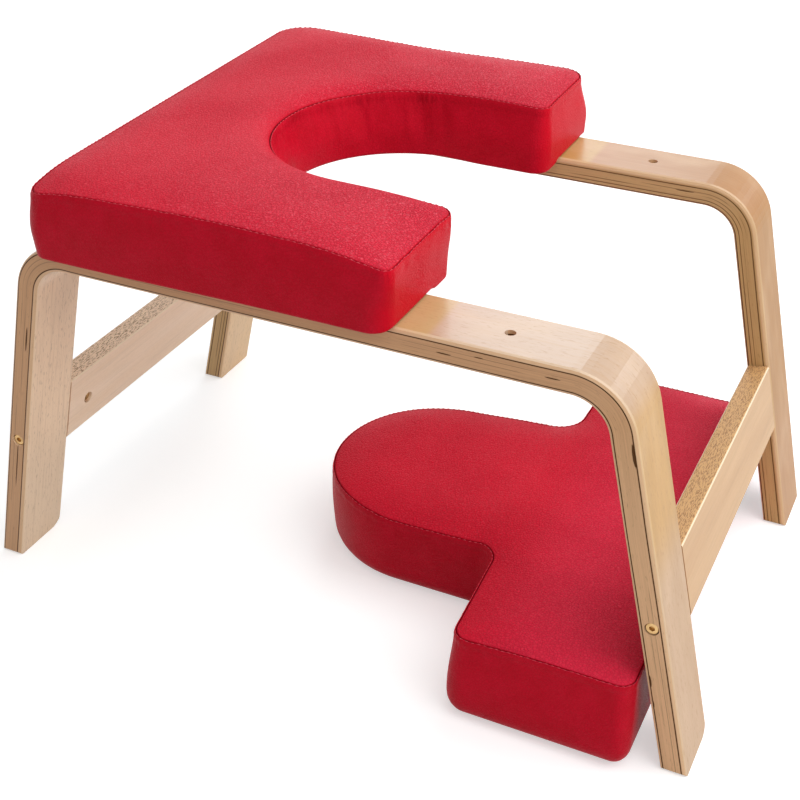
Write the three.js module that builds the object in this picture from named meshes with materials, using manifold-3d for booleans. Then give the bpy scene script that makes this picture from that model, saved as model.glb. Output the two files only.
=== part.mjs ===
import * as THREE from 'three';
import { mergeVertices } from 'three/addons/utils/BufferGeometryUtils.js';
import Module from 'manifold-3d';

// Yoga headstand stool, millimetres, +X to the open front, +Z up.
// The origin is on the floor, under the middle of the four feet.

const wasm = await Module();
wasm.setup();

// Clearance that touching pieces keep, and the overrun of every cut
const clearance = 0.3;
const overrun = 2;

// Arches: each is one strip of laminated ply bent into a table leg pair
const archHeight = 311.9;
const footSpan = 608.6;
const topSpan = 470.8;
const stoolWidth = 380;
const plyThickness = 19.4;
const stripWidth = 55.2;
const bendRadius = 48;
const archEase = 2.5;
const rightFootCorner = 13;
const footCorner = 4;

// Rails that tie the arches together at the front and the rear
const railHeight = 61;
const railRise = 101.5;
const railSetback = 0.4;
const railEase = 2;

// Connector bolt, barrel nut and dowels of each rail joint
const connectorDiameter = 6;
const connectorHead = 10;
const connectorHeadHeight = 3;
const connectorRecess = 1;
const connectorHex = 4;
const connectorTip = 2.5;
const connectorDrop = 2.2;
const barrelDiameter = 10;
const barrelLength = 14;
const barrelInset = 26.4;
const barrelSlot = 1.2;
const barrelSlotDepth = 1.5;
const dowelDiameter = 8;
const dowelLength = 30;
const dowelSpread = 18;
const dowelChamfer = 1;

// Holes through the top of each arch: the bare one from the front end of the flat,
// and those under the seat pad from its front and rear edges
const topHoleDiameter = 8;
const bareHoleInset = 90.4;
const armHoleInset = 45;
const rearHoleInset = 69;

// Bolts, washers and tee nuts that hold the seat pad
const padBoltDiameter = 6;
const padBoltLength = 34;
const padBoltHead = 11;
const padBoltHeadHeight = 3.5;
const padBoltHex = 4;
const washerDiameter = 18;
const washerThickness = 1.5;
const teeFlange = 19;
const teeFlangeThickness = 1.5;
const teeBarrel = 8;
const teeBarrelLength = 9;
const teeProngLength = 5;
const teeProngWidth = 3;
const teeProngThickness = 1.2;
const teeProngCount = 3;

// Upholstery common to both pads
const coverThickness = 1.2;
const hemWidth = 22;
const boardThickness = 12;
const boardChamfer = 4;
const liningThickness = 0.8;

// Lean and reach of the legs
const halfTurn = Math.PI;
const quarterTurn = Math.PI / 2;
const lean = Math.atan2((footSpan - topSpan) / 2, archHeight);
const footOuterX = footSpan / 2;
const footInnerX = footOuterX - plyThickness / Math.cos(lean);

// Seat pad: U outline, open to the front
const seatRearInset = 21.4;
const seatLength = 289;
const seatOverhang = 18;
const cutoutDepth = 180.5;
const seatCutoutRadius = 94.5;
const seatCrownShare = 0.424;
const seatRearX = seatRearInset - topSpan / 2;
const seatHalfWidth = stoolWidth / 2 + seatOverhang;
const seatNarrowest = Math.min(seatHalfWidth - seatCutoutRadius, seatLength - cutoutDepth);
const seat = {
  rearX: seatRearX,
  frontX: seatRearX + seatLength,
  halfWidth: seatHalfWidth,
  cornerRadius: 12,
  cutoutX: seatRearX + seatLength - cutoutDepth + seatCutoutRadius,
  cutoutRadius: seatCutoutRadius,
  mouthRadius: 14,
  seamHeight: 55,
  crownRise: 6,
  crownReach: seatCrownShare * seatNarrowest,
  rollRadius: 7,
  sideDrawIn: 2,
};

// Insert pad: a crossbar with a round tongue that fills the seat pad's cutout
const tongueClearance = 2.5;
const tongueGap = 6.5;
const insertLegGap = 1.9;
const insertOverhang = 14.5;
const crossbarDepth = 150.5;
const crossbarCrownShare = 0.32;
const insertSeamHeight = 71;
const insertCrownRise = 6;
const tongueReach = cutoutDepth - seatCutoutRadius + tongueGap;
const insertFrontX = footInnerX - insertLegGap - Math.tan(lean) * (insertSeamHeight + insertCrownRise);
const insert = {
  rearX: insertFrontX - crossbarDepth,
  frontX: insertFrontX,
  halfWidth: stoolWidth / 2 + insertOverhang,
  cornerRadius: 13,
  tongueX: insertFrontX - crossbarDepth - tongueReach,
  tongueRadius: seatCutoutRadius - tongueClearance,
  filletRadius: 12,
  seamHeight: insertSeamHeight,
  crownRise: insertCrownRise,
  crownReach: crossbarCrownShare * crossbarDepth,
  rollRadius: 13,
  sideDrawIn: 2.5,
};

// Fineness of arcs and rows
const crownPower = 2.4;
const crownShares = [1, 0.62, 0.3, 0.1];
const sideShares = [1, 0.78, 0.5, 0.22];
const innerCrownShares = [1, 0.3];
const innerSideShares = [1, 0.5];
const rollSteps = 3;
const innerRollSteps = 2;
const cornerSteps = 3;
const cutoutSteps = 14;
const sideSteps = 4;
const shortSideSteps = 2;
const tightCorner = 1;
const bendSegments = 6;
const easeSegments = 2;
const roundSegments = 16;
const smallSegments = 12;
const hexSides = 6;

// Shares of a bolt's own sizes
const tipChamferShare = 0.1;
const rimChamferShare = 0.2;
const socketDepthShare = 0.7;

// Derived sizes
const legReach = (Math.cos(lean) * topSpan) / 2 + Math.sin(lean) * archHeight;
const bendCentreZ = archHeight - bendRadius;
const bendCentreX = (legReach - bendRadius - Math.sin(lean) * bendCentreZ) / Math.cos(lean);
const innerBendRadius = bendRadius - plyThickness;
const archInnerY = stoolWidth / 2 - stripWidth;
const stripMiddleY = stoolWidth / 2 - stripWidth / 2;
const railLength = 2 * (archInnerY - clearance);
const railThickness = plyThickness - 2 * railSetback;
const connectorRise = railRise + railHeight / 2 - connectorDrop;
const seatBase = archHeight + clearance;
const bareHoleX = topSpan / 2 - bareHoleInset;
const armHoleX = seat.frontX - armHoleInset;
const rearHoleX = seat.rearX + rearHoleInset;
const crossbarHoleInset = bareHoleX - seat.frontX - tongueClearance;

// Materials
const archWood = new THREE.MeshStandardMaterial({ color: 0xe2bd92, roughness: 0.38, metalness: 0 });
const railWood = new THREE.MeshStandardMaterial({ color: 0xdcb284, roughness: 0.42, metalness: 0 });
const boardWood = new THREE.MeshStandardMaterial({ color: 0xc7a577, roughness: 0.7, metalness: 0 });
const dowelWood = new THREE.MeshStandardMaterial({ color: 0xd9bd92, roughness: 0.7, metalness: 0 });
const brass = new THREE.MeshStandardMaterial({ color: 0xb48a4e, roughness: 0.35, metalness: 1 });
const zincSteel = new THREE.MeshStandardMaterial({ color: 0xb9bcc0, roughness: 0.35, metalness: 1 });
const leatherette = new THREE.MeshStandardMaterial({ color: 0xb5121f, roughness: 0.42, metalness: 0 });
const foamRubber = new THREE.MeshStandardMaterial({ color: 0xe8e2c8, roughness: 0.95, metalness: 0 });
const liningCloth = new THREE.MeshStandardMaterial({ color: 0x1b1b1d, roughness: 0.95, metalness: 0 });

// Solids
function solidOf(geometry) {
  const bare = geometry.clone();
  bare.deleteAttribute('normal');
  bare.deleteAttribute('uv');
  const merged = mergeVertices(bare);
  return new wasm.Manifold(
    new wasm.Mesh({
      numProp: 3,
      vertProperties: new Float32Array(merged.attributes.position.array),
      triVerts: new Uint32Array(merged.index.array),
    }),
  );
}

function geometryOf(solid) {
  const mesh = solid.getMesh();
  const geometry = new THREE.BufferGeometry();
  geometry.setAttribute('position', new THREE.BufferAttribute(mesh.vertProperties, mesh.numProp));
  geometry.setIndex(new THREE.BufferAttribute(mesh.triVerts, 1));
  const flat = geometry.toNonIndexed();
  flat.computeVertexNormals();
  return flat;
}

function cut(geometry, cutters) {
  let solid = solidOf(geometry);
  for (const cutter of cutters) {
    solid = solid.subtract(solidOf(cutter));
  }
  return geometryOf(solid);
}

function join(geometries) {
  let solid = solidOf(geometries[0]);
  for (const geometry of geometries.slice(1)) {
    solid = solid.add(solidOf(geometry));
  }
  return geometryOf(solid);
}

// A round bar along Y, centred on a point
function barAlongY(diameter, length, x, y, z, segments = roundSegments) {
  const bar = new THREE.CylinderGeometry(diameter / 2, diameter / 2, length, segments);
  return bar.translate(x, y, z);
}

function barAlongZ(diameter, length, x, y, z, segments = roundSegments) {
  const bar = new THREE.CylinderGeometry(diameter / 2, diameter / 2, length, segments);
  return bar.rotateX(quarterTurn).translate(x, y, z);
}

// Places: side is +1 at the front and -1 at the rear, hand is +1 at the left and -1 at the right
const ends = [
  { side: 1, word: 'front' },
  { side: -1, word: 'rear' },
];
const hands = [
  { hand: 1, word: 'left' },
  { hand: -1, word: 'right' },
];

// The middle of a leg's thickness at a height measured along the leg
function legMiddle(side, along) {
  const depth = plyThickness / 2;
  const x = footOuterX - Math.cos(lean) * depth - Math.sin(lean) * along;
  const z = Math.cos(lean) * along - Math.sin(lean) * depth;
  return { x: side * x, z };
}

// Arch: side view outline, swept across the strip with eased long edges
function archOutline() {
  const shape = new THREE.Shape();
  shape.moveTo(footInnerX, 0);
  shape.lineTo(footOuterX, 0);
  shape.absarc(bendCentreX, bendCentreZ, bendRadius, lean, quarterTurn, false);
  shape.absarc(-bendCentreX, bendCentreZ, bendRadius, quarterTurn, halfTurn - lean, false);
  shape.lineTo(-footOuterX, 0);
  shape.lineTo(-footInnerX, 0);
  shape.absarc(-bendCentreX, bendCentreZ, innerBendRadius, halfTurn - lean, quarterTurn, true);
  shape.absarc(bendCentreX, bendCentreZ, innerBendRadius, quarterTurn, lean, true);
  return shape;
}

// Removes the square corner of a foot outside an arc, seen along X
function footCornerCutter(side, cornerY, inward, radius) {
  const shape = new THREE.Shape();
  shape.moveTo(-overrun, -overrun);
  shape.lineTo(radius, -overrun);
  shape.lineTo(radius, 0);
  shape.absarc(radius, radius, radius, -quarterTurn, -halfTurn, true);
  shape.lineTo(-overrun, radius);
  shape.closePath();
  const depth = 2 * (plyThickness + radius);
  const block = new THREE.ExtrudeGeometry(shape, { depth, bevelEnabled: false, curveSegments: cornerSteps });
  block.translate(0, 0, -depth / 2);
  block.applyMatrix4(new THREE.Matrix4().makeBasis(
    new THREE.Vector3(0, inward, 0),
    new THREE.Vector3(0, 0, 1),
    new THREE.Vector3(inward, 0, 0),
  ));
  return block.translate((side * (footOuterX + footInnerX)) / 2, cornerY, 0);
}

function archCutters(hand) {
  const middleY = hand * stripMiddleY;
  const outerY = (hand * stoolWidth) / 2;
  const innerY = hand * archInnerY;
  const innerCorner = hand < 0 ? rightFootCorner : footCorner;
  const cutters = [];
  for (const x of [bareHoleX, armHoleX, rearHoleX]) {
    cutters.push(barAlongZ(topHoleDiameter, plyThickness + 2 * overrun, x, middleY, archHeight - plyThickness / 2));
  }
  for (const { side } of ends) {
    const bolt = legMiddle(side, connectorRise);
    const sink = connectorRecess + connectorHeadHeight + clearance;
    const clearHole = connectorDiameter + 2 * clearance;
    const headHole = connectorHead + 2 * clearance;
    cutters.push(barAlongY(clearHole, stripWidth + 2 * overrun, bolt.x, middleY, bolt.z));
    cutters.push(barAlongY(headHole, 2 * sink, bolt.x, outerY, bolt.z));
    for (const offset of [dowelSpread, -dowelSpread]) {
      const dowel = legMiddle(side, connectorRise + offset);
      const hole = dowelDiameter + 2 * clearance;
      cutters.push(barAlongY(hole, dowelLength + 2 * clearance, dowel.x, innerY, dowel.z, smallSegments));
    }
    cutters.push(footCornerCutter(side, innerY, hand, innerCorner));
    cutters.push(footCornerCutter(side, outerY, -hand, footCorner));
  }
  return cutters;
}

function archGeometry(hand) {
  const strip = new THREE.ExtrudeGeometry(archOutline(), {
    depth: stripWidth - 2 * archEase,
    curveSegments: bendSegments,
    bevelThickness: archEase,
    bevelSize: archEase,
    bevelOffset: -archEase,
    bevelSegments: easeSegments,
  });
  strip.rotateX(quarterTurn);
  strip.translate(0, hand * stripMiddleY + stripWidth / 2 - archEase, 0);
  return cut(strip, archCutters(hand));
}

// Rail: drawn in its leg's own frame, x out through the leg and z along it
function railOutline() {
  const half = railThickness / 2;
  const shape = new THREE.Shape();
  shape.moveTo(half, railEase);
  shape.lineTo(half, railHeight - railEase);
  shape.absarc(half - railEase, railHeight - railEase, railEase, 0, quarterTurn, false);
  shape.absarc(railEase - half, railHeight - railEase, railEase, quarterTurn, halfTurn, false);
  shape.absarc(railEase - half, railEase, railEase, halfTurn, halfTurn + quarterTurn, false);
  shape.absarc(half - railEase, railEase, railEase, -quarterTurn, 0, false);
  return shape;
}

function railCutters(side) {
  const cutters = [];
  const boltRise = connectorRise - railRise;
  const endY = railLength / 2;
  const nutY = archInnerY - barrelInset;
  const nutHole = barrelDiameter + 2 * clearance;
  const nutDepth = railThickness / 2 + barrelLength / 2 + clearance + overrun;
  const nutX = -side * (railThickness / 2 + overrun - nutDepth / 2);
  const boltHole = connectorDiameter + 2 * clearance;
  const boltDepth = barrelInset + barrelDiameter / 2 + connectorTip + clearance;
  for (const { hand } of hands) {
    cutters.push(barAlongY(boltHole, 2 * boltDepth, 0, hand * archInnerY, boltRise));
    const pocket = barAlongZ(nutHole, nutDepth, 0, 0, 0).rotateY(quarterTurn);
    cutters.push(pocket.translate(nutX, hand * nutY, boltRise));
    for (const offset of [dowelSpread, -dowelSpread]) {
      const hole = dowelDiameter + 2 * clearance;
      cutters.push(barAlongY(hole, dowelLength + 2 * clearance, 0, hand * endY, boltRise + offset, smallSegments));
    }
  }
  return cutters;
}

function railGeometry(side) {
  const bar = new THREE.ExtrudeGeometry(railOutline(), {
    depth: railLength,
    bevelEnabled: false,
    curveSegments: easeSegments,
  });
  bar.rotateX(quarterTurn);
  bar.translate(0, railLength / 2, 0);
  return cut(bar, railCutters(side));
}

// Bolt with a flat round head: head top at z 0, shank down, hexagon socket
function boltGeometry(diameter, length, head, headHeight, hex) {
  const chamfer = tipChamferShare * diameter;
  const rim = rimChamferShare * headHeight;
  const profile = [
    [0, -headHeight - length],
    [diameter / 2 - chamfer, -headHeight - length],
    [diameter / 2, -headHeight - length + chamfer],
    [diameter / 2, -headHeight],
    [head / 2, -headHeight],
    [head / 2, -rim],
    [head / 2 - rim, 0],
    [0, 0],
  ];
  const points = profile.map(([r, z]) => new THREE.Vector2(r, z));
  const body = new THREE.LatheGeometry(points, roundSegments).rotateX(quarterTurn);
  const socketRadius = hex / 2 / Math.cos(halfTurn / hexSides);
  const socketDepth = socketDepthShare * headHeight;
  const socket = new THREE.CylinderGeometry(socketRadius, socketRadius, 2 * socketDepth, hexSides);
  return cut(body, [socket.rotateX(quarterTurn)]);
}

// Barrel nut: across the rail, with a cross hole for the bolt and a slot in its open end
function barrelNutGeometry(side) {
  const body = barAlongZ(barrelDiameter, barrelLength, 0, 0, 0).rotateY(quarterTurn);
  const thread = barAlongY(connectorDiameter + 2 * clearance, barrelDiameter + 2 * overrun, 0, 0, 0);
  const slot = new THREE.BoxGeometry(2 * barrelSlotDepth, barrelSlot, barrelDiameter + overrun);
  slot.translate((-side * barrelLength) / 2, 0, 0);
  return cut(body, [thread, slot]);
}

// Wooden dowel along Y with chamfered ends
function dowelGeometry() {
  const r = dowelDiameter / 2;
  const half = dowelLength / 2;
  const profile = [
    [0, -half],
    [r - dowelChamfer, -half],
    [r, dowelChamfer - half],
    [r, half - dowelChamfer],
    [r - dowelChamfer, half],
    [0, half],
  ];
  return new THREE.LatheGeometry(profile.map(([x, y]) => new THREE.Vector2(x, y)), smallSegments);
}

// A ring turned about Z from a closed section of radius and height pairs
function ringGeometry(section) {
  const points = section.map(([r, z]) => new THREE.Vector2(r, z));
  points.push(points[0].clone());
  return new THREE.LatheGeometry(points, smallSegments).rotateX(quarterTurn);
}

function washerGeometry() {
  const hole = padBoltDiameter / 2 + clearance;
  const rim = washerDiameter / 2;
  return ringGeometry([[hole, 0], [rim, 0], [rim, washerThickness], [hole, washerThickness]]);
}

function prongs(grow) {
  const pieces = [];
  for (let i = 0; i < teeProngCount; i += 1) {
    const prong = new THREE.BoxGeometry(
      teeProngThickness + 2 * grow,
      teeProngWidth + 2 * grow,
      teeProngLength + teeFlangeThickness / 2 + 2 * grow,
    );
    const radius = teeFlange / 2 - teeProngThickness / 2;
    prong.translate(radius, 0, -teeFlangeThickness / 2 - (teeProngLength + teeFlangeThickness / 2) / 2);
    pieces.push(prong.rotateZ((i * 2 * halfTurn) / teeProngCount));
  }
  return pieces;
}

// Tee nut: flange top at z 0, barrel and prongs down
function teeNutGeometry() {
  const bore = padBoltDiameter / 2 + clearance;
  const barrel = teeBarrel / 2;
  const body = ringGeometry([
    [bore, -teeFlangeThickness - teeBarrelLength],
    [barrel, -teeFlangeThickness - teeBarrelLength],
    [barrel, -teeFlangeThickness],
    [teeFlange / 2, -teeFlangeThickness],
    [teeFlange / 2, 0],
    [bore, 0],
  ]);
  return join([body, ...prongs(0)]);
}

// What a tee nut takes out of the board whose top face is at the given height
function teeNutCutters(x, y, top) {
  const seatDepth = 2 * (teeFlangeThickness + clearance);
  const flange = barAlongZ(teeFlange + 2 * clearance, seatDepth, 0, 0, 0, smallSegments);
  const through = 2 * boardThickness + 2 * overrun;
  const barrel = barAlongZ(teeBarrel + 2 * clearance, through, 0, 0, -boardThickness, smallSegments);
  const pockets = prongs(clearance);
  return [flange, barrel, ...pockets].map((piece) => piece.translate(x, y, top));
}

// Plan outlines, counter-clockwise from above, all with the same points at every inset
function arc(centreX, centreY, radius, from, to, steps) {
  const points = [];
  for (let i = 0; i <= steps; i += 1) {
    const angle = from + ((to - from) * i) / steps;
    points.push(new THREE.Vector2(centreX + radius * Math.cos(angle), centreY + radius * Math.sin(angle)));
  }
  return points;
}

function between(from, to, steps) {
  const points = [];
  for (let i = 1; i < steps; i += 1) {
    points.push(from.clone().lerp(to, i / steps));
  }
  return points;
}

// Joins arcs with straight stretches, each cut into its own number of steps
function closedOutline(arcs, steps) {
  const points = [];
  arcs.forEach((piece, i) => {
    const next = arcs[(i + 1) % arcs.length];
    points.push(...piece, ...between(piece[piece.length - 1], next[0], steps[i]));
  });
  return points;
}

function convexCorner(x, y, radius, from) {
  const reachX = Math.sign(Math.cos(from + quarterTurn / 2)) * radius;
  const reachY = Math.sign(Math.sin(from + quarterTurn / 2)) * radius;
  return arc(x - reachX, y - reachY, radius, from, from + quarterTurn, cornerSteps);
}

function seatOutline(inset) {
  const rear = seat.rearX + inset;
  const front = seat.frontX - inset;
  const side = seat.halfWidth - inset;
  const cutout = seat.cutoutRadius + inset;
  const corner = Math.max(seat.cornerRadius - inset, tightCorner);
  const mouth = Math.max(seat.mouthRadius - inset, tightCorner);
  const arcs = [
    convexCorner(rear, -side, corner, halfTurn),
    convexCorner(front, -side, corner, -quarterTurn),
    convexCorner(front, -cutout, mouth, 0),
    arc(seat.cutoutX, 0, cutout, -quarterTurn, -quarterTurn - halfTurn, cutoutSteps),
    convexCorner(front, cutout, mouth, -quarterTurn),
    convexCorner(front, side, corner, 0),
    convexCorner(rear, side, corner, quarterTurn),
  ];
  const steps = [sideSteps, shortSideSteps, shortSideSteps, shortSideSteps, shortSideSteps, sideSteps, sideSteps];
  return closedOutline(arcs, steps);
}

function insertOutline(inset) {
  const rear = insert.rearX + inset;
  const front = insert.frontX - inset;
  const side = insert.halfWidth - inset;
  const tongue = insert.tongueRadius - inset;
  const corner = Math.max(insert.cornerRadius - inset, tightCorner);
  const fillet = insert.filletRadius + inset;
  const filletX = insert.rearX - insert.filletRadius;
  const filletY = insert.tongueRadius + insert.filletRadius;
  const arcs = [
    convexCorner(rear, -side, corner, halfTurn),
    convexCorner(front, -side, corner, -quarterTurn),
    convexCorner(front, side, corner, 0),
    convexCorner(rear, side, corner, quarterTurn),
    arc(filletX, filletY, fillet, 0, -quarterTurn, cornerSteps),
    arc(insert.tongueX, 0, tongue, quarterTurn, quarterTurn + halfTurn, cutoutSteps),
    arc(filletX, -filletY, fillet, quarterTurn, 0, cornerSteps),
  ];
  const steps = [
    sideSteps,
    2 * sideSteps,
    sideSteps,
    shortSideSteps,
    shortSideSteps,
    shortSideSteps,
    shortSideSteps,
  ];
  return closedOutline(arcs, steps);
}

// Cushion section: inset and height pairs, moved inward by a depth under the surface
function sideInset(pad, height) {
  const share = (height - pad.rollRadius) / (pad.seamHeight - pad.rollRadius);
  return pad.sideDrawIn * (1 - Math.sin(halfTurn * share));
}

function crownRows(pad, depth, shares) {
  return shares.map((share) => [
    pad.sideDrawIn + share * pad.crownReach + depth,
    pad.seamHeight + pad.crownRise * (1 - (1 - share) ** crownPower) - depth,
  ]);
}

function sideRows(pad, depth, shares, bottom) {
  const top = pad.seamHeight - depth;
  return shares.map((share) => {
    const height = bottom + share * (top - bottom);
    return [sideInset(pad, height) + depth, height];
  });
}

function rollRows(pad, depth, steps) {
  const radius = pad.rollRadius - depth;
  const centre = pad.sideDrawIn + pad.rollRadius;
  const rows = [];
  for (let i = 0; i <= steps; i += 1) {
    const angle = (quarterTurn * i) / steps;
    rows.push([centre - radius * Math.cos(angle), pad.rollRadius - radius * Math.sin(angle)]);
  }
  return rows;
}

function coverRows(pad) {
  const outer = [
    ...crownRows(pad, 0, crownShares),
    ...sideRows(pad, 0, sideShares, pad.rollRadius),
    ...rollRows(pad, 0, rollSteps),
    [hemWidth, 0],
  ];
  const inner = [
    ...crownRows(pad, coverThickness, innerCrownShares),
    ...sideRows(pad, coverThickness, innerSideShares, pad.rollRadius),
    ...rollRows(pad, coverThickness, innerRollSteps),
    [hemWidth, coverThickness],
  ];
  return [...outer, ...inner.reverse()];
}

function foamRows(pad) {
  const depth = coverThickness + clearance;
  const bottom = depth + boardThickness + clearance;
  const rows = [...crownRows(pad, depth, innerCrownShares), ...sideRows(pad, depth, innerSideShares, bottom)];
  const low = Math.max(bottom, pad.rollRadius);
  rows.push([sideInset(pad, low) + depth, bottom]);
  return rows;
}

function boardRows(pad) {
  const bottom = coverThickness + clearance;
  const rim = bottom + pad.sideDrawIn;
  const chamfer = Math.max(boardChamfer, pad.rollRadius - bottom);
  return [
    [rim, bottom + boardThickness],
    [rim, bottom + chamfer],
    [rim + chamfer, bottom],
  ];
}

function liningRows() {
  const rim = hemWidth + clearance;
  return [
    [rim, clearance + liningThickness],
    [rim, clearance],
  ];
}

// Stacks one outline per row into a closed skin that starts and ends with a flat cap
function stackOutlines(outline, rows) {
  const loops = rows.map(([inset, height]) => outline(inset).map((p) => [p.x, p.y, height]));
  const count = loops[0].length;
  const index = [];
  const cap = (loopNumber, flip) => {
    const contour = loops[loopNumber].map(([x, y]) => new THREE.Vector2(x, y));
    for (const [a, b, c] of THREE.ShapeUtils.triangulateShape(contour, [])) {
      const first = loopNumber * count;
      index.push(...(flip ? [first + a, first + c, first + b] : [first + a, first + b, first + c]));
    }
  };
  cap(0, false);
  for (let row = 0; row + 1 < loops.length; row += 1) {
    for (let i = 0; i < count; i += 1) {
      const j = (i + 1) % count;
      const upper = row * count;
      const lower = upper + count;
      index.push(upper + i, lower + i, lower + j);
      index.push(upper + i, lower + j, upper + j);
    }
  }
  cap(loops.length - 1, true);
  const geometry = new THREE.BufferGeometry();
  geometry.setAttribute('position', new THREE.Float32BufferAttribute(loops.flat(2), 3));
  geometry.setIndex(index);
  geometry.computeVertexNormals();
  return geometry;
}

// The pieces of one pad, stacked up from a given floor height
function padPieces(word, pad, outline, base, nuts) {
  const group = new THREE.Group();
  group.position.z = base;
  const boardTop = coverThickness + clearance + boardThickness;
  const board = cut(
    stackOutlines(outline, boardRows(pad)),
    nuts.flatMap(({ x, y }) => teeNutCutters(x, y, boardTop)),
  );
  const lining = cut(
    stackOutlines(outline, liningRows()),
    nuts.map(({ x, y }) => barAlongZ(teeBarrel + 2 * clearance, 2 * boardThickness, x, y, 0, smallSegments)),
  );
  group.add(piece(`${word}_cover`, stackOutlines(outline, coverRows(pad)), leatherette));
  group.add(piece(`${word}_foam`, stackOutlines(outline, foamRows(pad)), foamRubber));
  group.add(piece(`${word}_board`, board, boardWood));
  group.add(piece(`${word}_lining`, lining, liningCloth));
  for (const { x, y, name } of nuts) {
    const nut = piece(`${word}_tee_nut_${name}`, teeNutGeometry(), zincSteel);
    nut.position.set(x, y, boardTop - clearance);
    group.add(nut);
  }
  return group;
}

function piece(name, geometry, material) {
  const mesh = new THREE.Mesh(geometry, material);
  mesh.name = name;
  return mesh;
}

// Frame of one pair of legs, with its rail and the fasteners of both rail joints
function legFrame({ side, word }) {
  const group = new THREE.Group();
  group.position.x = side * footOuterX;
  group.rotation.y = -side * lean;
  const middleX = (-side * plyThickness) / 2;
  const rail = piece(`${word}_rail`, railGeometry(side), railWood);
  rail.position.set(middleX, 0, railRise);
  group.add(rail);
  const grip = connectorRecess + connectorHeadHeight;
  const shank = stripWidth - grip + barrelInset + barrelDiameter / 2 + connectorTip / 2;
  for (const { hand, word: handWord } of hands) {
    const place = `${word}_${handWord}`;
    const bolt = piece(
      `connector_bolt_${place}`,
      boltGeometry(connectorDiameter, shank, connectorHead, connectorHeadHeight, connectorHex),
      brass,
    );
    bolt.rotation.x = -hand * quarterTurn;
    bolt.position.set(middleX, hand * (stoolWidth / 2 - connectorRecess), connectorRise);
    group.add(bolt);
    const nut = piece(`barrel_nut_${place}`, barrelNutGeometry(side), brass);
    nut.position.set(middleX, hand * (archInnerY - barrelInset), connectorRise);
    group.add(nut);
    for (const [level, offset] of [['upper', dowelSpread], ['lower', -dowelSpread]]) {
      const dowel = piece(`dowel_${place}_${level}`, dowelGeometry(), dowelWood);
      dowel.position.set(middleX, hand * archInnerY, connectorRise + offset);
      group.add(dowel);
    }
  }
  return group;
}

// Bolts that come up through an arch into the seat pad's tee nuts
function seatBolt({ x, y, name }) {
  const group = new THREE.Group();
  const underside = archHeight - plyThickness;
  const washer = piece(`seat_washer_${name}`, washerGeometry(), zincSteel);
  washer.position.set(x, y, underside - clearance - washerThickness);
  group.add(washer);
  const bolt = piece(
    `seat_bolt_${name}`,
    boltGeometry(padBoltDiameter, padBoltLength, padBoltHead, padBoltHeadHeight, padBoltHex),
    zincSteel,
  );
  bolt.rotation.x = halfTurn;
  bolt.position.set(x, y, underside - 2 * clearance - washerThickness - padBoltHeadHeight);
  group.add(bolt);
  return group;
}

// The whole stool
const stool = new THREE.Group();
for (const { hand, word } of hands) {
  stool.add(piece(`${word}_arch`, archGeometry(hand), archWood));
}
for (const end of ends) {
  stool.add(legFrame(end));
}

const seatNuts = [];
for (const { hand, word } of hands) {
  seatNuts.push({ x: armHoleX, y: hand * stripMiddleY, name: `front_${word}` });
  seatNuts.push({ x: rearHoleX, y: hand * stripMiddleY, name: `rear_${word}` });
}
stool.add(padPieces('seat', seat, seatOutline, seatBase, seatNuts));
for (const place of seatNuts) {
  stool.add(seatBolt(place));
}

const insertNuts = hands.map(({ hand, word }) => ({
  x: insert.rearX + crossbarHoleInset,
  y: hand * stripMiddleY,
  name: word,
}));
stool.add(padPieces('insert', insert, insertOutline, 0, insertNuts));

export default stool;
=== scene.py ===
"""Looks of the yoga headstand stool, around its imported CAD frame. Lengths are metres."""

import math
from collections import namedtuple

import bpy
import numpy as np
from mathutils import Matrix, Vector, geometry, noise


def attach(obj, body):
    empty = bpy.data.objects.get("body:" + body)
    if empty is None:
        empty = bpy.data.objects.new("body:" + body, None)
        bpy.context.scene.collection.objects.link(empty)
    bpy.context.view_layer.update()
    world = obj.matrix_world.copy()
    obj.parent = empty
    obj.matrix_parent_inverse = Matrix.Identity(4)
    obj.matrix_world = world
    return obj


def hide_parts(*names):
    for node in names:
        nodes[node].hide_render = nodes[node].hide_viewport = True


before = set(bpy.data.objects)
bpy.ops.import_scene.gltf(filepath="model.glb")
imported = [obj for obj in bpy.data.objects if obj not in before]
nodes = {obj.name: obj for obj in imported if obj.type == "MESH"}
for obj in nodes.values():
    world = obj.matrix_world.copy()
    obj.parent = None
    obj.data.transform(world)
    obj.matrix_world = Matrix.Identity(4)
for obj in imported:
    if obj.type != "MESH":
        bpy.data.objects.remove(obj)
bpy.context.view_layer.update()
scene = bpy.context.scene
scene.view_settings.view_transform = "Standard"

MM = 0.001
QUARTER = math.pi / 2

# Sizes of the arches: height, and length at the top and at the feet
ARCH_HEIGHT = 311.9 * MM
ARCH_TOP_LENGTH = 470.8 * MM
ARCH_FOOT_LENGTH = 608.6 * MM
BEND_RADIUS = 48 * MM
SEAT_BASE = ARCH_HEIGHT + 0.3 * MM

# Lean of the legs, centre of the bend, and where the bend ends along the strip
LEAN = math.atan2((ARCH_FOOT_LENGTH - ARCH_TOP_LENGTH) / 2, ARCH_HEIGHT)
BEND_Z = ARCH_HEIGHT - BEND_RADIUS
LEG_REACH = math.cos(LEAN) * ARCH_TOP_LENGTH / 2 + math.sin(LEAN) * ARCH_HEIGHT
BEND_X = (LEG_REACH - BEND_RADIUS - math.sin(LEAN) * BEND_Z) / math.cos(LEAN)
BEND_END = BEND_X + BEND_RADIUS * (QUARTER - LEAN)


# Node trees

def times(colour, factor):
    return tuple(factor * value for value in colour)


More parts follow.
